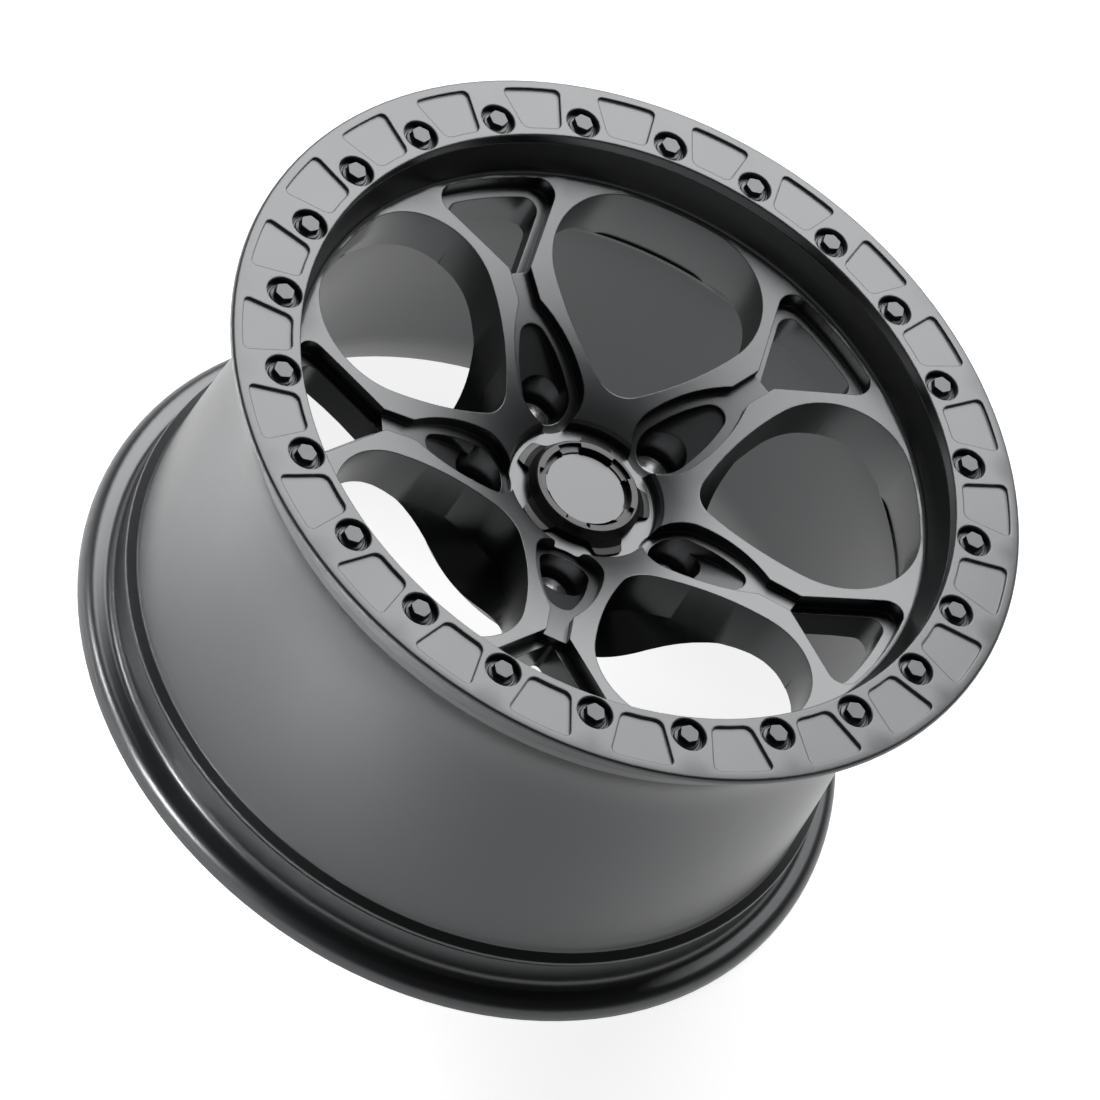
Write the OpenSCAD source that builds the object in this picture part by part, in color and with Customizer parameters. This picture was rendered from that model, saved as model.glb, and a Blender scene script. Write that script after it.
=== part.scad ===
// Off-road wheel with a bolted bead clamp ring, five split spokes and a push-in centre cap.
// Millimetres. The origin is the centre of the hub mounting face, with +Z towards the front.

/* [Rim] */
// Radius of the bead seats
bead_r = 218.3; // [217:0.1:219.5]
// Height of the rear flange above the bead seats
flange_rise = 17.8; // [17:0.1:19]
// Height of the front of the clamp ring above the hub mounting face
front_h = 106; // [102:0.5:112]
// Depth of the rear flange below the hub mounting face
rear_d = 148; // [140:0.5:156]
// Wall of the barrel
barrel_wall = 6.8; // [5.5:0.1:8]
// Depth of the barrel's waist below the bead seats
well_drop = 16.7; // [14:0.1:18]

/* [Clamp ring] */
// Thickness of the ring at its bolts
ring_t = 10; // [9:0.1:12]
// Height of the ring's edge above the bead seats
ring_rise = 17.2; // [16.5:0.1:18.5]
// Reach of the ring inside the bead seats
ring_reach = 22.4; // [21.5:0.1:23.5]
// Height of the step on the wheel that centres the ring
step_h = 2.8; // [2:0.1:3.5]
// Thickness of the ring at its outer edge
lip_t = 3.4; // [2.8:0.1:4.5]
// Depth of the shallow pockets between the bolts
pad_depth = 1.7; // [1:0.1:2.5]
// Width of the ring outside the pockets
pad_rim = 6.1; // [5:0.1:7]
// Width of the ring inside the pockets
pad_land = 5; // [4.5:0.1:6]
// Clearance between the ring and the step on the wheel
ring_gap = 0.15; // [0.05:0.05:0.3]

/* [Ring bolts] */
// Number of ring bolts
bolt_count = 24; // [24]
// Distance of the bolt circle inside the bead seats
bolt_in = 10.8; // [10.2:0.1:11.4]
// Radius of the counterbore around each bolt
sink_r = 10; // [9.2:0.1:10.4]
// Size of the hexagon across its flats
hex_af = 10; // [9:0.1:11]
// Height of the hexagon
hex_h = 4; // [3:0.1:5]
// Radius of the flange under the hexagon
bolt_flange_r = 7.35; // [6.6:0.05:8]
// Thickness of the flange under the hexagon
bolt_flange_t = 1.2; // [0.8:0.1:1.6]
// Radius of the bolt shank
shank_r = 2.95; // [2.5:0.05:3.5]
// Length of thread inside the wheel
thread_len = 12; // [8:0.5:15]
// Radial clearance around the shank in the ring and the washer
shank_gap = 0.35; // [0.2:0.05:0.5]
// Radial clearance between thread and tapped hole
thread_gap = 0.05; // [0.02:0.01:0.1]
// Outside radius of the washers
washer_r = 8.5; // [8:0.1:9]
// Thickness of the washers
washer_t = 1; // [0.6:0.1:1.4]
// Height of each hexagon above the front of the ring
hex_proud = 0.9; // [0:0.1:1.5]

/* [Spokes] */
// Half width of a spoke at its waist
waist_half = 21.3; // [19:0.1:24]
// Radius of the two outer corners of a large window
win_corner_r = 45.8; // [42:0.2:48]
// Radius of the inner corner of a large window
win_inner_r = 20; // [17:0.5:22]
// Distance of the inner end of a large window from the wheel axis
win_inner_at = 65.4; // [63:0.2:70]
// Radius of the long side curve of a large window
win_side_r = 172; // [165:1:180]
// Width of the wall between the spoke face and the opening of the ring
face_wall = 8.9; // [8:0.1:10]
// Half width of the neck between the two recesses of a spoke
neck_half = 6.9; // [6:0.1:8]
// Distance of the outer end of the neck inside the edge of the spoke face
neck_in = 55; // [52:0.5:58]
// Half angle of the wedge window in a spoke
wedge_half = 36.5; // [34:0.5:38]
// Corner radius of the wedge window
wedge_corner_r = 9; // [7:0.5:11]
// Width of the shelf inside the wedge window
wedge_shelf = 5.2; // [4:0.1:6.5]
// Corner radius of the hole inside the wedge window
wedge_hole_r = 7.6; // [6:0.2:9]
// Depth of the shelf inside the wedge window
wedge_depth = 10.6; // [8:0.2:13]
// Half width of the lug recess
recess_half = 20.7; // [19:0.1:22]
// Radius of the curved sides of the lug recess
recess_side_r = 94; // [90:1:100]
// Depth of the upper floor of the lug recess
recess_depth = 4.5; // [3:0.1:5.5]
// Width of the ledge around the lower lug recess
recess_ledge = 6; // [4.5:0.1:7]
// Radius of the outer end of the lower lug recess
recess_tip_r = 8.4; // [6:0.2:9.4]

/* [Hub] */
// Radius of the centre bore
hub_bore_r = 35.75; // [35:0.05:37]
// Length of the centre bore
hub_bore_len = 14; // [12:0.5:15]
// Radius of the hub mounting face
hub_pad_r = 88; // [86:0.5:92]
// Radius of the lug circle
lug_circle_r = 63.5; // [60.3:0.1:66]
// Radius of the lug holes
lug_r = 7.15; // [6.5:0.05:8]
// Large radius of the lug seats
seat_r = 10.5; // [9.5:0.1:11.5]
// Height of the lug seats above the mounting face
seat_h = 16.6; // [15:0.1:19]
// Radius of the socket wells around the lug holes
socket_r = 15; // [14:0.1:16]
// Height of the flat ring around the cap above the mounting face
hub_face_h = 30.6; // [28:0.1:32]
// Outer radius of the flat ring around the cap
hub_face_r = 43.6; // [43:0.1:45]

/* [Window backs] */
// Height at which the outer wall of a large window begins to lean outwards
lean_h = 59; // [57:0.5:62]
// Angle of the leaning wall
lean_angle = 15.6; // [12:0.2:18]
// Distance of the tip of the trough at the hub from the edge of the mounting face
trough_back = 34; // [31:0.5:36]
// Rise of the middle line of the trough
trough_rise = 17.5; // [14:0.5:21]

/* [Valve hole] */
// Radius of the valve hole
valve_r = 5.75; // [5.6:0.05:8]
// Height of the valve hole above the mounting face
valve_h = 52; // [50:0.5:54]
// Radius of the flat spot inside the valve hole
valve_spot_r = 10; // [9:0.5:11]
// Wall left outside the flat spot
valve_wall = 6; // [5:0.1:7]

/* [Centre cap] */
// Radius of the cap bore in the hub
cap_bore_r = 31; // [30:0.1:31.5]
// Length of the cap bore in the hub
cap_bore_len = 10.6; // [9:0.1:12]
// Depth of the groove that the clip fingers spring into
clip_groove = 2.2; // [1.8:0.1:2.8]
// Radial clearance between the cap and its bore
cap_gap = 0.2; // [0.1:0.05:0.4]
// Height of the cap above the flat ring around it
cap_h = 9.7; // [8:0.1:11]
// Radius of the cap at its top
cap_top_r = 30.9; // [29.5:0.1:31.5]
// Radius of the cap skirt between its lobes
cap_skirt_r = 33.7; // [33:0.1:34.5]
// Radius of the cap skirt at its lobes
cap_lobe_r = 41; // [40:0.1:41.6]
// Radius of the sunk face of the cap
cap_dish_r = 26.6; // [25.5:0.1:27.2]
// Depth of the groove around the disc
cap_dish_d = 5.6; // [4.5:0.1:6.5]
// Radius of the disc
disc_r = 23.4; // [22:0.1:24.4]
// Thickness of the disc
disc_t = 2.3; // [1.5:0.1:3]
// Number of clip fingers
finger_count = 10; // [8:1:12]
// Radius of the wire of the spring ring
wire_r = 1; // [0.8:0.1:1.2]

/* [Hidden] */
$fn = 96;
// Number of spokes, lug holes, cap lobes and cap slots
spokes = 5;
pitch = 360 / spokes;
// Overlap of a cut past the face it opens
cut = 1;
// Radii that follow the bead seats
ring_r = bead_r + ring_rise;
flange_r = bead_r + flange_rise;
well_r = bead_r - well_drop;
ring_bore_r = bead_r - ring_reach;
bolt_circle_r = bead_r - bolt_in;
face_r = ring_bore_r - face_wall;
neck_out = face_r - neck_in;
// Heights of the ring and of the face that carries it
ring_seat_h = front_h - ring_t;
step_top_h = ring_seat_h + step_h;
step_r = ring_bore_r + 3.6;
// Front and rear levels of the barrel
front_bead_h = front_h - 29.8;
rear_bead_h = 36 - rear_d;
lip_h = 11.7 - rear_d;
// Heights of the spoke face at its outer edge and where it leaves the hub
face_h = front_h - 28.3;
face_in_h = hub_face_h + 8.3;
face_in_r = hub_face_r + 3.4;
// Height of the back of the spokes at the barrel
back_h = face_h - 35.3;
// Seat of the bolt heads
sink_h = front_h + hex_proud - hex_h - bolt_flange_t - washer_t;
flange_h = sink_h + washer_t;
hex_bottom_h = flange_h + bolt_flange_t;
// Top of the cap, floor of its groove and top of the disc
cap_top_h = hub_face_h + cap_h;
dish_h = cap_top_h - cap_dish_d;
tab_h = dish_h + disc_t + 0.9;
// Step that the clip fingers hold
clip_h = hub_face_h - cap_bore_len;

// Nodes: the wheel, its ring, one bolt and one washer for each bolt hole, and the cap.
function bolt_name(i) = str("ring_bolt_", i < 9 ? "0" : "", i + 1);
function washer_name(i) = str("ring_washer_", i < 9 ? "0" : "", i + 1);

// A point at a distance and an angle, and its place on the circle round a centre.
function polar(r, a) = [r * cos(a), r * sin(a)];
function arc(c, r, a0, a1, n) = [for (i = [0 : n]) c + polar(r, a0 + (a1 - a0) * i / n)];
// A cubic curve through its end points.
function bez(a, b, c, d, n) = [for (i = [0 : n]) let (t = i / n, u = 1 - t)
    u * u * u * a + 3 * u * u * t * b + 3 * u * t * t * c + t * t * t * d];
function heading(v) = atan2(v[1], v[0]);
// The point where circles round a and b with radii p and q meet, on the left of a to b.
function meet(a, b, p, q) = let (
    v = b - a,
    d = norm(v),
    s = (p * p - q * q + d * d) / (2 * d),
    h = sqrt(p * p - s * s)
) a + v * (s / d) + [-v[1], v[0]] * (h / d);
function flip(points) = [for (i = [len(points) - 1 : -1 : 0]) [points[i][0], -points[i][1]]];

// Outline with its corners rounded by the matching radii.
function rounded(p, r, n = 5) = [for (i = [0 : len(p) - 1]) let (
    a = p[(i + len(p) - 1) % len(p)] - p[i],
    b = p[(i + 1) % len(p)] - p[i],
    ua = a / norm(a),
    ub = b / norm(b),
    half = acos(ua * ub) / 2,
    c = p[i] + (ua + ub) / norm(ua + ub) * r[i] / sin(half),
    a0 = heading(p[i] + ua * r[i] / tan(half) - c),
    a1 = heading(p[i] + ub * r[i] / tan(half) - c),
    turn = (a1 - a0 + 540) % 360 - 180
) each (r[i] == 0 ? [p[i]] : arc(c, r[i], a0, a0 + turn, n))];

// Half outline of a large window, from its inner end to its outer edge. The window lies along X.
corner_d = face_r - win_corner_r;
corner_c = polar(corner_d, asin((waist_half + win_corner_r) / corner_d) - pitch / 2);
inner_c = [win_inner_at + win_inner_r, 0];
side_c = meet(inner_c, corner_c, win_side_r - win_inner_r, win_side_r - win_corner_r);
window_half = concat(
    arc(inner_c, win_inner_r, -180, heading(inner_c - side_c), 8),
    arc(side_c, win_side_r, heading(inner_c - side_c), heading(corner_c - side_c), 10),
    arc(corner_c, win_corner_r, heading(corner_c - side_c), heading(corner_c), 24),
    arc([0, 0], face_r, heading(corner_c), 0, 3)
);

// Half outline of the wedge window, drawn in by a shelf width, with a round apex and corner.
function wedge(shelf, apex, corner) = let (
    w = wedge_half,
    tip = neck_out - neck_half / tan(w) + shelf / sin(w),
    b = [tip + corner * sin(w), corner * cos(w)],
    u = [cos(w), -sin(w)],
    reach = face_r - shelf - corner,
    t = sqrt((b * u) * (b * u) - b * b + reach * reach) - b * u,
    c = b + t * u,
    start = apex > 0 ? arc([tip + apex / sin(w), 0], apex, -180, -90 - w, 5) : [[neck_out, -neck_half]]
) concat(start, arc(c, corner, -90 - w, heading(c), 8), arc([0, 0], face_r - shelf, heading(c), 0, 4));

// Round outer end of the lower lug recess, which touches both of its curved sides.
recess_c = [lug_circle_r, recess_side_r - recess_half];
recess_in_r = recess_side_r - recess_ledge - recess_tip_r;
recess_tip_c = [lug_circle_r + sqrt(recess_in_r * recess_in_r - recess_c[1] * recess_c[1]), 0];
recess_tip = arc(recess_tip_c, recess_tip_r, heading(recess_tip_c - recess_c), 0, 6);

// Half outline of the lug recess, drawn in by a ledge width.
function recess(ledge, end) = let (
    c = recess_c,
    half = recess_half - ledge,
    side = recess_side_r - ledge,
    a = ledge > 0 ? heading(recess_tip_c - recess_c) : asin((-neck_half - c[1]) / side)
) concat(
    arc([lug_circle_r, 0], half, -180, -90, 10),
    arc(c, side, -90, a, 10),
    end
);

// Radius and height pairs of the spoke face, sunk by one depth at the hub and another at the rim.
function face(d_in, d_out, n) = bez(
    [face_in_r, face_in_h - d_in],
    [face_in_r + 25, face_in_h + 14.4 - d_in],
    [face_r - 70, face_h - 12.7 - d_out],
    [face_r, face_h - d_out],
    n
);

// Outside of the barrel from its front bead seat to its rear one.
barrel_front = bez([bead_r - 4, front_bead_h - 7.8], [well_r + 6, front_bead_h - 14], [well_r, 45], [well_r, 27], 8);
barrel_rear = bez([well_r, 27], [well_r, 5], [bead_r - 8, -40], [bead_r - 5.7, rear_bead_h + 4], 12);

wheel_outside = concat(
    [
        [step_r - 3.6, step_top_h],
        [step_r, step_top_h],
        [step_r, ring_seat_h],
        [bead_r - 1, ring_seat_h],
        [bead_r, ring_seat_h - 1],
        [bead_r - 0.7, front_bead_h + 0.6],
        [bead_r - 1.9, front_bead_h - 0.6],
        [bead_r - 2.2, front_bead_h - 2],
        [bead_r - 3.1, front_bead_h - 6.6]
    ],
    barrel_front,
    [for (i = [1 : 12]) barrel_rear[i]],
    [
        [bead_r - 5.0, rear_bead_h + 2],
        [bead_r + 0.3, rear_bead_h - 0.6],
        [bead_r + 0.7, rear_bead_h - 2],
        [bead_r - 0.4, rear_bead_h - 4.5]
    ],
    [for (a = [0 : 15 : 90]) [bead_r + 5.5 - 5.5 * cos(a), lip_h + 5.5 - 5.5 * sin(a)]],
    [for (a = [90 : -15 : 0]) [flange_r - 8 + 8 * cos(a), lip_h - 8 + 8 * sin(a)]],
    [
        [flange_r, -rear_d + 1.6],
        [flange_r - 1.6, -rear_d],
        [flange_r - 5, -rear_d]
    ]
);
back_top = [face_r - 17, back_h + 1.4];
wheel_inside = concat(
    [
        [bead_r + 7, 2.5 - rear_d],
        [bead_r + 1.5, 8 - rear_d],
        [bead_r - 5, 14 - rear_d],
        [bead_r - 8, 22 - rear_d]
    ],
    [for (i = [12 : -1 : 0]) barrel_rear[i] - [barrel_wall, 0]],
    bez([well_r - barrel_wall, 29], [face_r + 4, back_h - 2.4], [face_r - 6, back_h + 2.1], back_top, 7),
    [for (i = [1 : 12]) bez(back_top, [face_r - 62, back_h - 1.4], [hub_pad_r + 8, 16], [hub_pad_r, 0], 12)[i]],
    [
        [hub_bore_r, 0],
        [hub_bore_r, hub_bore_len],
        [cap_bore_r + clip_groove, hub_bore_len],
        [cap_bore_r + clip_groove, clip_h],
        [cap_bore_r, clip_h],
        [cap_bore_r, hub_face_h - 0.8],
        [cap_bore_r + 0.8, hub_face_h]
    ],
    bez([hub_face_r, hub_face_h], [face_in_r - 1, hub_face_h + 0.5], [face_in_r - 3, face_in_h - 3], [face_in_r, face_in_h], 5),
    [for (i = [1 : 15]) face(0, 0, 15)[i]],
    bez([face_r + 1.6, face_h + 0.6], [face_r + 3, face_h + 1.4], [face_r + 3.2, face_h + 3], [face_r + 3.5, face_h + 5], 4)
);

// Flat outline closed by its own mirror image and drawn upwards.
module slab(half, from, to) {
    translate([0, 0, from])
        linear_extrude(to - from)
            polygon(concat(half, flip(half)));
}

// A large window. Its outer wall leans outwards at the back, and at the hub it ends in a sloping trough.
module window_cut() {
    lean_end = (well_r - barrel_wall - face_r) / tan(lean_angle) - 2;
    reach = 75;
    slab(window_half, lean_h, front_h);
    intersection() {
        translate([face_r, 0, lean_h])
            rotate([0, -lean_angle, 0])
                translate([-face_r, 0, 0])
                    slab(window_half, -60, 30);
        translate([corner_c[0] + 6, -face_r, lean_h - lean_end])
            cube([face_r, 2 * face_r, lean_end]);
    }
    intersection() {
        slab(window_half, -60, lean_h + 0.01);
        union() {
            translate([hub_pad_r - trough_back, 0, trough_back * tan(45 - trough_rise)]) {
                rotate([0, 90 - trough_rise, 0])
                    cylinder(r1 = 0, r2 = reach, h = reach);
                rotate([0, -trough_rise, 0])
                    translate([-reach, -face_r, 0])
                        cube([2 * face_r, 2 * face_r, face_r]);
            }
            translate([hub_pad_r + 24, -face_r, -80])
                cube([face_r, 2 * face_r, 160]);
        }
    }
}

// Everything above the spoke face after it has been sunk.
module above_face(d_in, d_out) {
    rotate_extrude($fn = 180)
        polygon(concat(
            [[0, face_in_h - d_in - 6], [face_in_r - 20, face_in_h - d_in - 6]],
            face(d_in, d_out, 15),
            [[face_r + 8, face_h - d_out], [face_r + 8, front_h], [0, front_h]]
        ));
}

module each_spoke() {
    for (i = [0 : spokes - 1])
        rotate([0, 0, i * pitch])
            children();
}

module bolt_ring_places() {
    for (i = [0 : bolt_count - 1])
        rotate([0, 0, i * 360 / bolt_count])
            translate([bolt_circle_r, 0, 0])
                children();
}

// Lug recess of one spoke: an upper floor, a sloping lower floor and the well around the lug hole.
module lug_recess_cut() {
    slope = 28.5;
    depth = front_h - seat_h;
    intersection() {
        slab(recess(0, [[neck_out + 2, -neck_half]]), seat_h, front_h);
        above_face(recess_depth + 4.5, recess_depth - 0.4);
    }
    intersection() {
        slab(recess(recess_ledge, recess_tip), seat_h, front_h);
        translate([lug_circle_r + socket_r, 0, seat_h + 20.6])
            rotate([0, -slope, 0])
                translate([-lug_circle_r, -recess_side_r, 0])
                    cube([2 * lug_circle_r, 2 * recess_side_r, depth]);
    }
    translate([lug_circle_r, 0, seat_h])
        cylinder(r = socket_r, h = front_h - seat_h);
}

// Hole and 60 degree seat for one wheel nut.
module lug_hole_cut() {
    translate([lug_circle_r, 0, 0]) {
        translate([0, 0, -cut])
            cylinder(r = lug_r, h = seat_h + 2 * cut);
        translate([0, 0, seat_h - (seat_r - lug_r) / tan(30)])
            cylinder(r1 = lug_r, r2 = seat_r + cut * tan(30), h = (seat_r - lug_r) / tan(30) + cut);
    }
}

module wedge_window_cut() {
    intersection() {
        slab(wedge(0, 0, wedge_corner_r), back_h - 20, front_h);
        above_face(wedge_depth, wedge_depth);
    }
    slab(wedge(wedge_shelf, 2.5, wedge_hole_r), -20, front_h);
}

module wheel_body() {
    color("#3a3c3e")
        difference() {
            rotate_extrude($fn = 180)
                polygon(concat(wheel_outside, wheel_inside));
            each_spoke() {
                rotate([0, 0, pitch / 2])
                    window_cut();
                lug_recess_cut();
                lug_hole_cut();
                wedge_window_cut();
            }
            bolt_ring_places()
                translate([0, 0, ring_seat_h - thread_len - 4])
                    cylinder(r = shank_r + thread_gap, h = thread_len + 4 + cut, $fn = 24);
            rotate([0, 0, pitch])
                translate([0, 0, valve_h])
                    rotate([0, 90, 0]) {
                        translate([0, 0, face_r - 12])
                            cylinder(r = valve_r, h = 40, $fn = 48);
                        translate([0, 0, face_r - 12])
                            cylinder(r = valve_spot_r, h = well_r + 3 - valve_wall - face_r + 12, $fn = 48);
                    }
        }
}

// Outline of one shallow pocket between two ring bolts.
pad_in = ring_bore_r + pad_land;
pad_out = ring_r - pad_rim;
pad_outline = rounded(
    concat(
        [polar(pad_in, -3.35)],
        [for (a = [-4.62, -2, 0, 2, 4.62]) polar(pad_out, a)],
        [polar(pad_in, 3.35), polar(pad_in, 0)]
    ),
    [5, 3.2, 0, 0, 0, 3.2, 5, 0]
);

module clamp_ring() {
    color("#54575a")
        difference() {
            rotate_extrude($fn = 240)
                polygon(concat(
                    [
                        [ring_bore_r, step_top_h + ring_gap],
                        [step_r + ring_gap, step_top_h + ring_gap],
                        [step_r + ring_gap, ring_seat_h],
                        [bead_r - 1.4, ring_seat_h],
                        [bead_r + 1.2, ring_seat_h + 0.6],
                        [bead_r + 8, front_h - lip_t - 3.1],
                        [ring_r - 0.6, front_h - lip_t - 0.4],
                        [ring_r, front_h - lip_t]
                    ],
                    [for (a = [0 : 22.5 : 90]) [ring_r - 1.8 + 1.8 * cos(a), front_h - 1.8 + 1.8 * sin(a)]],
                    [
                        [ring_bore_r + 0.6, front_h],
                        [ring_bore_r, front_h - 0.6]
                    ]
                ));
            bolt_ring_places() {
                translate([0, 0, sink_h])
                    cylinder(r = sink_r, h = front_h - sink_h + cut, $fn = 60);
                translate([0, 0, front_h - 0.5])
                    cylinder(r1 = sink_r, r2 = sink_r + 0.7, h = 0.7, $fn = 60);
                translate([0, 0, ring_seat_h - cut])
                    cylinder(r = shank_r + shank_gap, h = ring_t + cut, $fn = 24);
            }
            for (i = [0 : bolt_count - 1])
                rotate([0, 0, (i + 0.5) * 360 / bolt_count])
                    translate([0, 0, front_h - pad_depth])
                        linear_extrude(pad_depth + cut)
                            polygon(pad_outline);
        }
}

// One bolt: a chamfered hexagon on a round flange, turned by a different amount in each hole.
module ring_bolt(i) {
    corner = hex_af / 2 / cos(30);
    color("#5c5f63")
        rotate([0, 0, i * 360 / bolt_count])
            translate([bolt_circle_r, 0, 0]) {
                intersection() {
                    rotate([0, 0, (i * 37) % 60])
                        translate([0, 0, hex_bottom_h - 0.2])
                            cylinder(r = corner, h = hex_h + 0.2, $fn = 6);
                    translate([0, 0, hex_bottom_h - 0.2])
                        cylinder(r1 = corner + hex_h, r2 = corner - 0.2, h = hex_h + 0.2, $fn = 48);
                }
                translate([0, 0, flange_h])
                    cylinder(r = bolt_flange_r, h = bolt_flange_t, $fn = 48);
                translate([0, 0, ring_seat_h - thread_len])
                    cylinder(r = shank_r, h = flange_h + 0.2 - ring_seat_h + thread_len, $fn = 24);
            }
}

module ring_washer(i) {
    color("#6a6d70")
        rotate([0, 0, i * 360 / bolt_count])
            translate([bolt_circle_r, 0, sink_h])
                difference() {
                    cylinder(r = washer_r, h = washer_t, $fn = 48);
                    translate([0, 0, -cut])
                        cylinder(r = shank_r + shank_gap, h = washer_t + 2 * cut, $fn = 24);
                }
}

// Outline of the cap skirt: one lobe in front of each large window.
lobe = [
    [-36, cap_skirt_r, 0], [-26, cap_skirt_r, 0], [-18.5, cap_skirt_r + 0.3, 3], [-12, cap_lobe_r, 2.4],
    [-4, cap_lobe_r, 0], [4, cap_lobe_r, 0], [12, cap_lobe_r, 2.4], [18.5, cap_skirt_r + 0.3, 3],
    [26, cap_skirt_r, 0]
];
skirt_outline = rounded(
    [for (k = [0 : spokes - 1], v = lobe) polar(v[1], v[0] + (k + 0.5) * pitch)],
    [for (k = [0 : spokes - 1], v = lobe) v[2]],
    4
);

// Part of a flat ring, centred on X.
module sector(r_in, r_out, half, from, to) {
    translate([0, 0, from])
        linear_extrude(to - from)
            polygon(concat(arc([0, 0], r_out, -half, half, 8), arc([0, 0], r_in, half, -half, 8)));
}

module cap_body() {
    finger_r = cap_bore_r - cap_gap;
    finger_t = 2.4;
    finger_end = hub_bore_len + 0.5;
    color("#2e3032") {
        difference() {
            intersection() {
                translate([0, 0, hub_face_h])
                    linear_extrude(cap_h)
                        polygon(skirt_outline);
                rotate_extrude()
                    polygon([
                        [0, hub_face_h],
                        [cap_lobe_r + 1, hub_face_h],
                        [cap_lobe_r + 1, hub_face_h + 1.3],
                        [cap_lobe_r - 4, hub_face_h + 2.3],
                        [cap_skirt_r, hub_face_h + 4.2],
                        [cap_skirt_r - 1.6, hub_face_h + 6.8],
                        [cap_top_r + 0.3, cap_top_h - 0.7],
                        [cap_top_r - 0.5, cap_top_h],
                        [0, cap_top_h]
                    ]);
            }
            translate([0, 0, dish_h])
                cylinder(r = cap_dish_r, h = cap_dish_d + cut);
            each_spoke()
                sector(cap_dish_r - 1, cap_dish_r + 2.6, 15, tab_h, cap_top_h + cut);
        }
        each_spoke()
            sector(disc_r + 1, cap_dish_r + 0.5, 13, dish_h - 0.5, tab_h);
        difference() {
            rotate_extrude()
                polygon([
                    [finger_r - finger_t, finger_end],
                    [finger_r - 0.4, finger_end],
                    [finger_r + 1.4, clip_h - 1.6],
                    [finger_r + 1.4, clip_h - 0.2],
                    [finger_r, clip_h - 0.2],
                    [finger_r, hub_face_h + 0.5],
                    [finger_r - finger_t, hub_face_h + 0.5]
                ]);
            for (i = [0 : finger_count - 1])
                rotate([0, 0, i * 360 / finger_count])
                    translate([finger_r - 6, -1.5, finger_end - cut])
                        cube([10, 3, hub_face_h - finger_end - 1.5]);
            spring_path(wire_r + 0.05);
        }
    }
}

// Round the inside of the fingers, for the groove and for the wire in it.
module spring_path(r) {
    translate([0, 0, clip_h - 1.5])
        rotate_extrude()
            translate([cap_bore_r - cap_gap - 2.4 - wire_r * 0.4, 0])
                circle(r = r, $fn = 24);
}

module cap_disc() {
    color("#8f9194")
        translate([0, 0, dish_h])
            linear_extrude(disc_t)
                union() {
                    circle(r = disc_r);
                    for (i = [0 : spokes - 1])
                        polygon(concat([[0, 0]], arc([0, 0], disc_r + 0.7, i * pitch - 14, i * pitch + 14, 8)));
                }
}

module cap_spring() {
    color("#8a8d91")
        spring_path(wire_r);
}

wheel_body();
clamp_ring();
cap_body();
cap_disc();
cap_spring();
for (i = [0 : bolt_count - 1]) {
    ring_bolt(i);
    ring_washer(i);
}
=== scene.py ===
"""Satin black off-road wheel with a bolted clamp ring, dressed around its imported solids.

Metres, in the frame of the solids: the origin is the centre of the hub face and +Z is the front.
"""

import math

import bmesh
import bpy
from mathutils import Matrix, Vector


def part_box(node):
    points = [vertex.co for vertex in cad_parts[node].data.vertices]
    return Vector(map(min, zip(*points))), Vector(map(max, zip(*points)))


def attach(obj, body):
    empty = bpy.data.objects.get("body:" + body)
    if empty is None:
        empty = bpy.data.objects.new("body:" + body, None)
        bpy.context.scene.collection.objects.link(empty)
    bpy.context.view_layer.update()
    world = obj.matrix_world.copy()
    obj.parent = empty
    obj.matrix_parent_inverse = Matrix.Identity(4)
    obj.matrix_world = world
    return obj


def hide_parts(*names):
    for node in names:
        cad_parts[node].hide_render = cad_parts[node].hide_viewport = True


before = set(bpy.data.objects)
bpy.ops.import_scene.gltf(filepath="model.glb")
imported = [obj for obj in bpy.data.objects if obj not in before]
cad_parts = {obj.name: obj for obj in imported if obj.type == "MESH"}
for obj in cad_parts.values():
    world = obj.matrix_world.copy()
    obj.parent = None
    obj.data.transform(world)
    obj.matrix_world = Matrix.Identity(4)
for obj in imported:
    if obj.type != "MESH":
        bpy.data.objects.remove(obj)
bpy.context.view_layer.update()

MM = 0.001
BOLTS = 24
LUGS = 5
LUG_CIRCLE = 63.5 * MM
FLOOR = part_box("wheel_body")[0].z

first_bolt_low, first_bolt_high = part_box("ring_bolt_01")
first_washer_low, first_washer_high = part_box("ring_washer_01")
BOLT_TOP = first_bolt_high.z
BOLT_END = first_bolt_low.z
BOLT_CIRCLE = (first_washer_low.x + first_washer_high.x) / 2
WASHER_LOW, WASHER_TOP = first_washer_low.z, first_washer_high.z
WASHER_R = (first_washer_high.x - first_washer_low.x) / 2


# ---------------------------------------------------------------- shader helpers

# Sockets of the Mix node that carry colours.
MIX_BELOW, MIX_ABOVE, MIX_RESULT = 6, 7, 2


class Value:
    """A socket that takes part in plain arithmetic, one Math node for each step."""

    def __init__(self, finish, socket):
        self.finish, self.socket = finish, socket

    def _math(self, operation, a, b, clamp=False):
        settings = {"operation": operation, "use_clamp": clamp}
        return Value(
            self.finish, self.finish.node("ShaderNodeMath", settings, {0: a, 1: b}).outputs[0]
        )

    def __add__(self, other):
        return self._math("ADD", self, other)

    __radd__ = __add__

    def __sub__(self, other):
        return self._math("SUBTRACT", self, other)

    def __rsub__(self, other):
        return self._math("SUBTRACT", other, self)

    def __mul__(self, other):
        return self._math("MULTIPLY", self, other)

    __rmul__ = __mul__

    def __truediv__(self, other):
        return self._math("DIVIDE", self, other)

    def lower_of(self, other):
        return self._math("MINIMUM", self, other)

    def within(self):
        """The same value, held between 0 and 1."""
        return self._math("ADD", self, 0.0, clamp=True)

    def step(self, start, end):
        """0 before start, 1 after end, with a straight run between them."""
        return ((self - start) / (end - start)).within()


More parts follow.
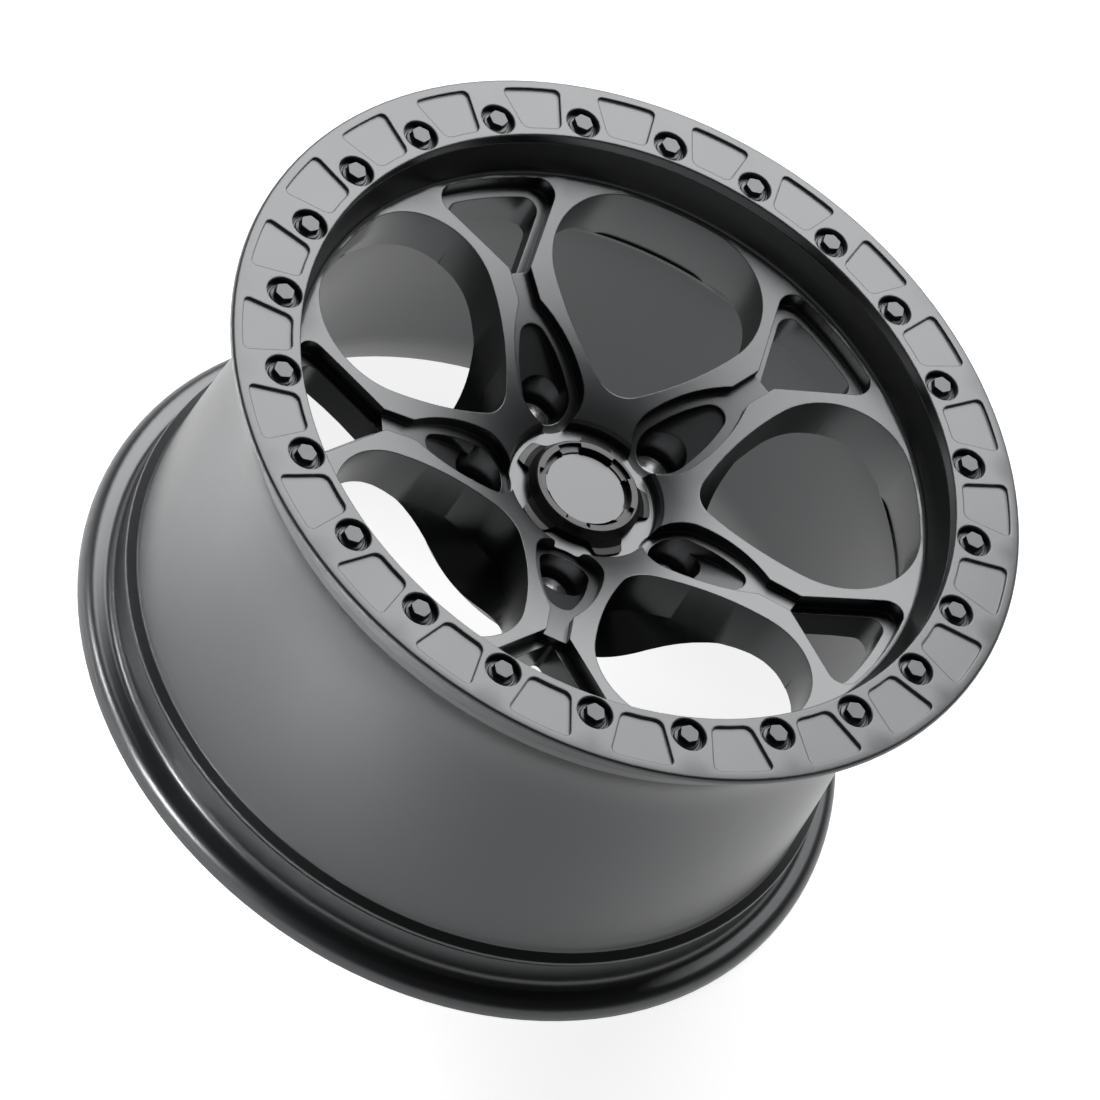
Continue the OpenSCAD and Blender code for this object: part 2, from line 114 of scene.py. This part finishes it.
class Finish:
    """One material: its Principled shader and the nodes that feed it."""

    def __init__(self, name):
        self.material = bpy.data.materials.new(name)
        self.material.use_nodes = True
        self.tree = self.material.node_tree
        self.shader = self.tree.nodes["Principled BSDF"]
        self.place = self.node("ShaderNodeTexCoord").outputs["Object"]

    def node(self, kind, settings=None, inputs=None):
        made = self.tree.nodes.new(kind)
        for key, value in (settings or {}).items():
            setattr(made, key, value)
        for key, value in (inputs or {}).items():
            self.feed(made.inputs[key], value)
        return made

    def feed(self, socket, value):
        if isinstance(value, Value):
            value = value.socket
        if isinstance(value, bpy.types.NodeSocket):
            self.tree.links.new(value, socket)
        else:
            socket.default_value = value

    def value(self, socket):
        return Value(self, socket)

    def noise(self, scale, detail=2.0, roughness=0.5, place=None):
        inputs = {
            "Vector": place or self.place,
            "Scale": scale,
            "Detail": detail,
            "Roughness": roughness,
        }
        return self.value(self.node("ShaderNodeTexNoise", None, inputs).outputs["Fac"])

    def scaled(self, x, y, z):
        """Object coordinates stretched along each axis, which squeezes a pattern on them."""
        inputs = {"Vector": self.place, "Scale": (x, y, z)}
        return self.node("ShaderNodeMapping", None, inputs).outputs[0]

    def height(self):
        """Height above the hub face, in metres."""
        split = self.node("ShaderNodeSeparateXYZ", None, {0: self.place})
        return self.value(split.outputs["Z"])

    def from_axis(self, place=(0, 0, 0)):
        """Distance from the wheel's axis, or from a line beside it, in metres."""
        inputs = {0: self.scaled(1, 1, 0), 1: place}
        made = self.node("ShaderNodeVectorMath", {"operation": "DISTANCE"}, inputs)
        return self.value(made.outputs["Value"])

    def blend(self, amount, below, above):
        """One colour over another, by an amount from 0 to 1."""
        inputs = {"Factor": amount, MIX_BELOW: self.shade(below), MIX_ABOVE: self.shade(above)}
        return self.node("ShaderNodeMix", {"data_type": "RGBA"}, inputs).outputs[MIX_RESULT]

    @staticmethod
    def shade(colour):
        return (*colour, 1) if isinstance(colour, tuple) and len(colour) == 3 else colour

    def round_edges(self, radius):
        """Normal of the surface with a small fillet on its edges, and how much edge is here."""
        soft = self.node("ShaderNodeBevel", {"samples": 6}, {"Radius": radius}).outputs[0]
        flat = self.node("ShaderNodeNewGeometry").outputs["Normal"]
        facing = self.node("ShaderNodeVectorMath", {"operation": "DOT_PRODUCT"}, {0: soft, 1: flat})
        turned_away = 1 - self.value(facing.outputs["Value"])
        return soft, turned_away.step(0.01, 0.2)

    def bump(self, height, distance, strength, normal):
        inputs = {"Height": height, "Distance": distance, "Strength": strength, "Normal": normal}
        return self.node("ShaderNodeBump", None, inputs).outputs[0]

    def set(self, **inputs):
        for key, value in inputs.items():
            self.feed(self.shader.inputs[key.replace("_", " ")], value)
        return self.material


def brighter(colour, times):
    return tuple(part * times for part in colour)


# ---------------------------------------------------------------- finishes

# A clear outer skin that mirrors a little more than plain plastic, and a little bluer.
FULL_SHEEN = 1.0
COOL_SHEEN = (0.95, 0.975, 1.0, 1.0)

LUG_PLACES = [
    (LUG_CIRCLE * math.cos(i * math.tau / LUGS), LUG_CIRCLE * math.sin(i * math.tau / LUGS), 0)
    for i in range(LUGS)
]
# Where the bare metal of a lug seat ends: outwards, at its top and at its foot.
SEAT_EDGE = (10.2 * MM, 10.6 * MM)
SEAT_TOP = (16.2 * MM, 16.5 * MM)
SEAT_FOOT = (0.4 * MM, 0.8 * MM)


def seat_metal(f):
    """1 on the machined lug seats and 0 on the paint round them."""
    away = f.from_axis(LUG_PLACES[0])
    for place in LUG_PLACES[1:]:
        away = away.lower_of(f.from_axis(place))
    z = f.height()
    return (1 - away.step(*SEAT_EDGE)) * (1 - z.step(*SEAT_TOP)) * z.step(*SEAT_FOOT)


def satin_paint(name, colour, fillet, roughness, bare_seats=False):
    """Powder coat: orange peel, a fine grain, cloudy gloss, and edges painted a little lighter,
    partly rubbed wear and partly a painted highlight.
    """
    f = Finish(name)
    soft, edge = f.round_edges(fillet)
    peel = f.noise(scale=420, detail=3, roughness=0.55)
    grain = f.noise(scale=2600, detail=2, roughness=0.6)
    clouds = f.noise(scale=9, detail=4, roughness=0.6).step(0.3, 0.75)
    grains = grain.step(0.3, 0.7)
    tone = f.blend(clouds * 0.5 + grains * 0.3, colour, brighter(colour, 1.35))
    # Edges painted lighter: partly rubbed wear, partly a painted highlight along them.
    edge_wear_and_highlight = edge * (0.35 + 0.4 * f.noise(scale=120, detail=3))
    tone = f.blend(edge_wear_and_highlight, tone, brighter(colour, 2.2))
    rough = roughness + clouds * 0.05 + grains * 0.03
    metal = 0.0
    if bare_seats:
        metal = seat_metal(f)
        turned = f.noise(scale=1, place=f.scaled(120, 120, 3000))
        cut_metal = f.blend(turned, (0.6, 0.6, 0.61), (0.88, 0.88, 0.89))
        tone = f.blend(metal, tone, cut_metal)
        rough = rough * (1 - metal) + metal * (0.22 + 0.14 * turned)
    return f.set(
        Base_Color=tone,
        Roughness=rough,
        Metallic=metal,
        Normal=f.bump(peel + grain * 0.25, 0.02 * MM, 0.5, soft),
        Specular_IOR_Level=FULL_SHEEN,
        Specular_Tint=COOL_SHEEN,
    )


def cap_plastic():
    """Moulded black plastic with a fine spark-eroded texture."""
    f = Finish("cap_plastic")
    soft, edge = f.round_edges(0.5 * MM)
    texture = f.noise(scale=1500, detail=4, roughness=0.65)
    cloud = f.noise(scale=25, detail=3)
    tone = f.blend(cloud, (0.006, 0.0063, 0.0068), (0.011, 0.0115, 0.0123))
    return f.set(
        # Edges painted lighter: a painted highlight along the cap's edges.
        Base_Color=f.blend(edge * 0.6, tone, (0.05, 0.051, 0.053)),
        Roughness=0.3 + 0.06 * texture + 0.04 * cloud,
        Normal=f.bump(texture, 0.02 * MM, 0.6, soft),
        Specular_IOR_Level=0.4,
    )


def disc_aluminium():
    """Bare satin aluminium: a bead-blasted grain over a faint turned ring pattern."""
    f = Finish("disc_aluminium")
    soft, edge = f.round_edges(0.35 * MM)
    grain = f.noise(scale=2200, detail=3, roughness=0.7)
    rings = f.node("ShaderNodeCombineXYZ", None, {0: f.from_axis() * 5200}).outputs[0]
    turned = f.noise(scale=1, place=rings)
    tone = f.blend(grain * 0.6 + turned * 0.4, (0.11, 0.112, 0.116), (0.17, 0.172, 0.177))
    return f.set(
        # Edges painted lighter: a painted highlight along the disc's edges.
        Base_Color=f.blend(edge * 0.7, tone, (0.3, 0.3, 0.31)),
        Roughness=0.42 + 0.08 * grain + 0.05 * turned,
        Metallic=0.7,
        Normal=f.bump(grain + turned * 0.5, 0.012 * MM, 0.5, soft),
    )


def fastener_metal(name, colour, bright, roughness, metal):
    """Plated steel: blotchy plating, fine tool marks, and edges painted bright, partly worn plating
    and partly a painted highlight.
    """
    f = Finish(name)
    soft, edge = f.round_edges(0.3 * MM)
    blotch = f.noise(scale=260, detail=4, roughness=0.6)
    marks = f.noise(scale=1, detail=3, roughness=0.6, place=f.scaled(1800, 1800, 500))
    tone = f.blend(blotch, colour, brighter(colour, 1.6))
    return f.set(
        # Edges painted towards the bright colour: partly worn plating, partly a painted highlight.
        Base_Color=f.blend(edge * (0.4 + 0.5 * marks), tone, bright),
        Roughness=roughness + 0.12 * blotch + 0.06 * marks,
        Metallic=metal,
        Normal=f.bump(marks, 0.015 * MM, 0.4, soft),
        Specular_IOR_Level=FULL_SHEEN,
        Specular_Tint=COOL_SHEEN,
    )


wheel_paint = satin_paint(
    "wheel_satin_black",
    colour=(0.007, 0.0074, 0.0081),
    fillet=0.9 * MM,
    roughness=0.30,
    bare_seats=True,
)
ring_paint = satin_paint(
    "ring_satin_black", colour=(0.012, 0.0126, 0.0136), fillet=1.3 * MM, roughness=0.31
)
cap_black = cap_plastic()
disc_metal = disc_aluminium()
bolt_metal = fastener_metal(
    "bolt_black_zinc",
    colour=(0.03, 0.031, 0.033),
    bright=(0.2, 0.2, 0.205),
    roughness=0.3,
    metal=0.35,
)
washer_metal = fastener_metal(
    "washer_dark_steel",
    colour=(0.05, 0.051, 0.053),
    bright=(0.25, 0.25, 0.255),
    roughness=0.34,
    metal=0.6,
)
spring_metal = fastener_metal(
    "spring_wire",
    colour=(0.25, 0.25, 0.255),
    bright=(0.6, 0.6, 0.6),
    roughness=0.25,
    metal=0.9,
)

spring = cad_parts["cap_spring"]
spring.data.materials.clear()
spring.data.materials.append(spring_metal)


# ---------------------------------------------------------------- cast, turned and moulded shapes

SOLID_MERGE = 2e-6
TURNED_MERGE = 1e-6
SLIVER = 1e-7


def smooth_copy(name, node, finish, crease):
    """Merged copy of a solid, shaded smooth up to a crease angle, so its curves show no bands."""
    work = bmesh.new()
    work.from_mesh(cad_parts[node].data)
    bmesh.ops.remove_doubles(work, verts=work.verts, dist=SOLID_MERGE)
    bmesh.ops.dissolve_degenerate(work, dist=SLIVER, edges=work.edges)
    work.verts.index_update()
    points = [v.co for v in work.verts]
    faces = [[v.index for v in face.verts] for face in work.faces]
    mesh = bpy.data.meshes.new(name)
    mesh.from_pydata(points, [], faces)
    work.free()
    mesh.shade_smooth()
    mesh.set_sharp_from_angle(angle=math.radians(crease))
    mesh.materials.append(finish)
    piece = bpy.data.objects.new(name, mesh)
    bpy.context.scene.collection.objects.link(piece)
    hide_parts(node)
    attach(piece, "root")


smooth_copy("wheel_casting", "wheel_body", wheel_paint, crease=20)
smooth_copy("bead_clamp_ring", "clamp_ring", ring_paint, crease=20)
smooth_copy("cap_shell", "cap_body", cap_black, crease=14)
smooth_copy("cap_plate", "cap_disc", disc_metal, crease=25)


# ---------------------------------------------------------------- ring bolts and washers


def turned_mesh(name, outline, steps=48):
    """Closed mesh round the axis. outline(angle) gives its (radius, height) pairs there."""
    work = bmesh.new()
    rings = []
    for i in range(steps):
        angle = i * math.tau / steps
        x, y = math.cos(angle), math.sin(angle)
        rings.append([work.verts.new((r * x, r * y, z)) for r, z in outline(angle)])
    for i, ring in enumerate(rings):
        following = rings[(i + 1) % steps]
        for k in range(len(ring)):
            n = (k + 1) % len(ring)
            work.faces.new((ring[k], following[k], following[n], ring[n]))
    bmesh.ops.remove_doubles(work, verts=work.verts, dist=TURNED_MERGE)
    bmesh.ops.dissolve_degenerate(work, dist=SLIVER, edges=work.edges)
    bmesh.ops.recalc_face_normals(work, faces=work.faces)
    mesh = bpy.data.meshes.new(name)
    work.to_mesh(mesh)
    work.free()
    return mesh


SHANK_R = 2.95 * MM
SHANK_CHAMFER = 0.5 * MM

# The flange: its foot's rounding, where its rim ends, and the bevel above the rim.
FLANGE_R = 7.35 * MM
FLANGE_FOOT = 0.25 * MM
FLANGE_RIM = 0.55 * MM
FLANGE_BEVEL = (0.3 * MM, 0.85 * MM)
FLANGE_TOP = WASHER_TOP + 1.2 * MM

# The hexagon: half its width over flats, the fillet at its root and its chamfered crown.
HEX_FLAT = 5 * MM
HEX_SECTOR = 60
ROOT_OUT, ROOT_UP = 0.35 * MM, 0.3 * MM
CROWN_R = 5.35 * MM
CROWN_INSET = 0.12 * MM
CROWN_SLOPE = math.tan(math.radians(35))

WASHER_CLEARANCE = 0.35 * MM
WASHER_ROLL = 0.2 * MM
WASHER_ROUND = 0.3 * MM

# How much further each bolt's hexagon is turned than the last, in degrees.
BOLT_TURN = 37


def bolt_outline(angle):
    """Half section of a flange bolt: shank, flange with a rounded rim, hexagon and its crown."""
    turn = math.degrees(angle) % HEX_SECTOR - HEX_SECTOR / 2
    corner = HEX_FLAT / math.cos(math.radians(turn))
    crown = min(CROWN_R, corner - CROWN_INSET)
    shoulder = BOLT_TOP - (corner - crown) * CROWN_SLOPE
    return [
        (0, BOLT_END),
        (SHANK_R - SHANK_CHAMFER, BOLT_END),
        (SHANK_R, BOLT_END + SHANK_CHAMFER),
        (SHANK_R, WASHER_TOP),
        (FLANGE_R - FLANGE_FOOT, WASHER_TOP),
        (FLANGE_R, WASHER_TOP + FLANGE_FOOT),
        (FLANGE_R, WASHER_TOP + FLANGE_RIM),
        (FLANGE_R - FLANGE_BEVEL[0], WASHER_TOP + FLANGE_BEVEL[1]),
        (corner + ROOT_OUT, FLANGE_TOP),
        (corner, FLANGE_TOP + ROOT_UP),
        (corner, shoulder),
        (crown, BOLT_TOP),
        (0, BOLT_TOP),
    ]


def washer_outline(_):
    """Half section of a flat washer with rolled edges."""
    inner = SHANK_R + WASHER_CLEARANCE
    return [
        (inner, WASHER_LOW),
        (WASHER_R - WASHER_ROLL, WASHER_LOW),
        (WASHER_R, WASHER_LOW + WASHER_ROLL),
        (WASHER_R, WASHER_TOP - WASHER_ROUND),
        (WASHER_R - WASHER_ROUND, WASHER_TOP),
        (inner, WASHER_TOP),
    ]


def circle_of_pieces():
    """Node tree that sets one piece round a circle, each turned a little further than the last."""
    tree = bpy.data.node_groups.new("circle_of_pieces", "GeometryNodeTree")
    tree.is_modifier = True
    face = tree.interface
    for name, kind in (
        ("Piece", "NodeSocketObject"),
        ("Finish", "NodeSocketMaterial"),
        ("Count", "NodeSocketInt"),
        ("Circle Radius", "NodeSocketFloat"),
        ("Extra Turn", "NodeSocketFloat"),
        ("Turn Limit", "NodeSocketFloat"),
    ):
        face.new_socket(name, in_out="INPUT", socket_type=kind)
    face.new_socket("Geometry", in_out="OUTPUT", socket_type="NodeSocketGeometry")

    def node(kind, settings=None, inputs=None):
        made = tree.nodes.new(kind)
        for key, value in (settings or {}).items():
            setattr(made, key, value)
        for key, value in (inputs or {}).items():
            if isinstance(value, bpy.types.NodeSocket):
                tree.links.new(value, made.inputs[key])
            else:
                made.inputs[key].default_value = value
        return made

    def maths(operation, a, b):
        return node("ShaderNodeMath", {"operation": operation}, {0: a, 1: b}).outputs[0]

    given = node("NodeGroupInput").outputs
    circle = node(
        "GeometryNodeMeshCircle",
        None,
        {"Vertices": given["Count"], "Radius": given["Circle Radius"]},
    )
    index = node("GeometryNodeInputIndex").outputs[0]
    around = maths("MULTIPLY", index, maths("DIVIDE", math.tau, given["Count"]))
    extra = maths("MODULO", maths("MULTIPLY", index, given["Extra Turn"]), given["Turn Limit"])
    turn = node("ShaderNodeCombineXYZ", None, {"Z": maths("ADD", around, extra)}).outputs[0]
    piece = node(
        "GeometryNodeObjectInfo", {"transform_space": "ORIGINAL"}, {"Object": given["Piece"]}
    )
    placed = node(
        "GeometryNodeInstanceOnPoints",
        None,
        {"Points": circle.outputs[0], "Instance": piece.outputs["Geometry"], "Rotation": turn},
    )
    real = node("GeometryNodeRealizeInstances", None, {0: placed.outputs[0]})
    done = node(
        "GeometryNodeSetMaterial",
        None,
        {"Geometry": real.outputs[0], "Material": given["Finish"]},
    )
    tree.links.new(done.outputs[0], node("NodeGroupOutput").inputs[0])
    return tree


def set_round(tree, name, mesh, finish, extra_turn, crease=20):
    """Bakes the circle of one piece to a plain mesh of its own."""
    piece = bpy.data.objects.new(name + "_one", mesh)
    carrier = bpy.data.objects.new(name + "_circle", bpy.data.meshes.new(name + "_circle"))
    for made in (piece, carrier):
        bpy.context.scene.collection.objects.link(made)
    modifier = carrier.modifiers.new("circle", "NODES")
    modifier.node_group = tree
    wanted = {
        "Piece": piece,
        "Finish": finish,
        "Count": BOLTS,
        "Circle Radius": BOLT_CIRCLE,
        "Extra Turn": math.radians(extra_turn),
        "Turn Limit": math.radians(HEX_SECTOR),
    }
    for socket in tree.interface.items_tree:
        if socket.item_type == "SOCKET" and socket.name in wanted:
            modifier[socket.identifier] = wanted[socket.name]
    view = bpy.context.evaluated_depsgraph_get()
    baked = bpy.data.meshes.new_from_object(carrier.evaluated_get(view), depsgraph=view)
    baked.name = name
    carrier.modifiers.remove(modifier)
    for made in (piece, carrier):
        bpy.data.objects.remove(made)
    result = bpy.data.objects.new(name, baked)
    bpy.context.scene.collection.objects.link(result)
    baked.shade_smooth()
    baked.set_sharp_from_angle(angle=math.radians(crease))
    return result


circle_tree = circle_of_pieces()
for name, outline, finish, extra_turn, slot in (
    ("ring_bolt", bolt_outline, bolt_metal, BOLT_TURN, "bolt_black"),
    ("ring_washer", washer_outline, washer_metal, 0, "washer_steel"),
):
    one = turned_mesh(name + "_one", outline)
    pieces = set_round(circle_tree, name + "s", one, finish, extra_turn)
    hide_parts(*[f"{name}_{i + 1:02d}" for i in range(BOLTS)])
    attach(pieces, "root")


# ---------------------------------------------------------------- floor, light and camera

# The stage from its middle outwards: distance from the axis and height above the floor.
STAGE = [(0.01, 0), (4, 0), (7.5, 0), (8.6, 0.2), (9, 0.8), (9, 3)]
STAGE_STEPS = 96
STAGE_GLOW = 0.86


def plain_stage():
    """Pale floor under the wheel, which turns up into a low round backdrop far behind it."""
    points = [
        (r * math.cos(i * math.tau / STAGE_STEPS), r * math.sin(i * math.tau / STAGE_STEPS), z)
        for r, z in [(r, FLOOR + up) for r, up in STAGE]
        for i in range(STAGE_STEPS)
    ]
    faces = []
    for k in range(len(STAGE) - 1):
        inner, outer = k * STAGE_STEPS, (k + 1) * STAGE_STEPS
        for i in range(STAGE_STEPS):
            following = (i + 1) % STAGE_STEPS
            faces.append((outer + i, outer + following, inner + following, inner + i))
    middle = tuple(range(STAGE_STEPS))
    mesh = bpy.data.meshes.new("floor")
    mesh.from_pydata(points, [], faces + [middle])
    mesh.shade_smooth()
    floor = bpy.data.objects.new("floor", mesh)
    bpy.context.scene.collection.objects.link(floor)
    f = Finish("floor_paint")
    seen = f.node("ShaderNodeLightPath").outputs
    shown = sum(f.value(seen[f"Is {kind} Ray"]) for kind in ("Camera", "Glossy", "Transmission"))
    speck = f.noise(scale=40, detail=3)
    f.set(
        Base_Color=f.blend(speck, (0.5, 0.5, 0.5), (0.52, 0.52, 0.52)),
        Roughness=0.8,
        Emission_Color=f.blend(shown.within(), (0, 0, 0), (1, 1, 1)),
        Emission_Strength=STAGE_GLOW,
        Specular_IOR_Level=0.1,
    )
    mesh.materials.append(f.material)


def soft_box(name, toward, distance, side, strength, aim=(0, 0, 0), spread=180):
    """A square soft light that stands in a direction from what it is aimed at and faces it."""
    light = bpy.data.lights.new(name, "AREA")
    light.shape = "RECTANGLE"
    light.spread = math.radians(spread)
    light.size, light.size_y = side, side
    light.energy = strength * side * side * math.pi
    lamp = bpy.data.objects.new(name, light)
    bpy.context.scene.collection.objects.link(lamp)
    lamp.location = Vector(aim) + Vector(toward).normalized() * distance
    lamp.rotation_euler = (Vector(aim) - lamp.location).to_track_quat("-Z", "Y").to_euler()


def studio_air():
    """Dark studio above the lamps."""
    world = bpy.data.worlds.new("studio_air")
    bpy.context.scene.world = world
    world.use_nodes = True
    shade = world.node_tree.nodes["Background"].inputs
    shade["Color"].default_value = (1, 1, 1, 1)
    shade["Strength"].default_value = 0.06


plain_stage()
studio_air()

# The key light stands where the wheel's face mirrors it to the camera.
soft_box("key_light", toward=(0.556, -0.42, 0.735), distance=1.6, side=1.4, strength=5.6)
# Two narrow lights brighten the floor beside the wheel, which the barrel mirrors.
soft_box(
    "left_light",
    toward=(0.5, 0.6, 0.8),
    distance=1.2,
    side=0.32,
    strength=15.0,
    aim=(0.34, 0.55, FLOOR),
    spread=18,
)
soft_box(
    "near_light",
    toward=(0.1, 0.75, 0.65),
    distance=1.3,
    side=0.32,
    strength=15.0,
    aim=(-0.15, 0.66, FLOOR),
    spread=18,
)

LOOK_FROM = Vector((-1.5125, 1.8021, 2.5300))
RIGHT = Vector((-0.36446, -0.84832, 0.38409))
UP = Vector((0.82325, -0.10075, 0.55867))
BACK = Vector((-0.43523, 0.51982, 0.73510))
eye = bpy.data.cameras.new("photo_camera")
eye.sensor_width, eye.lens = 36, 200.95
eye.clip_start, eye.clip_end = 0.05, 20
camera = bpy.data.objects.new("photo_camera", eye)
bpy.context.scene.collection.objects.link(camera)
camera.matrix_world = Matrix(
    [[RIGHT[i], UP[i], BACK[i], LOOK_FROM[i]] for i in range(3)] + [[0, 0, 0, 1]]
)
bpy.context.scene.camera = camera
bpy.context.scene.view_settings.view_transform = "Standard"
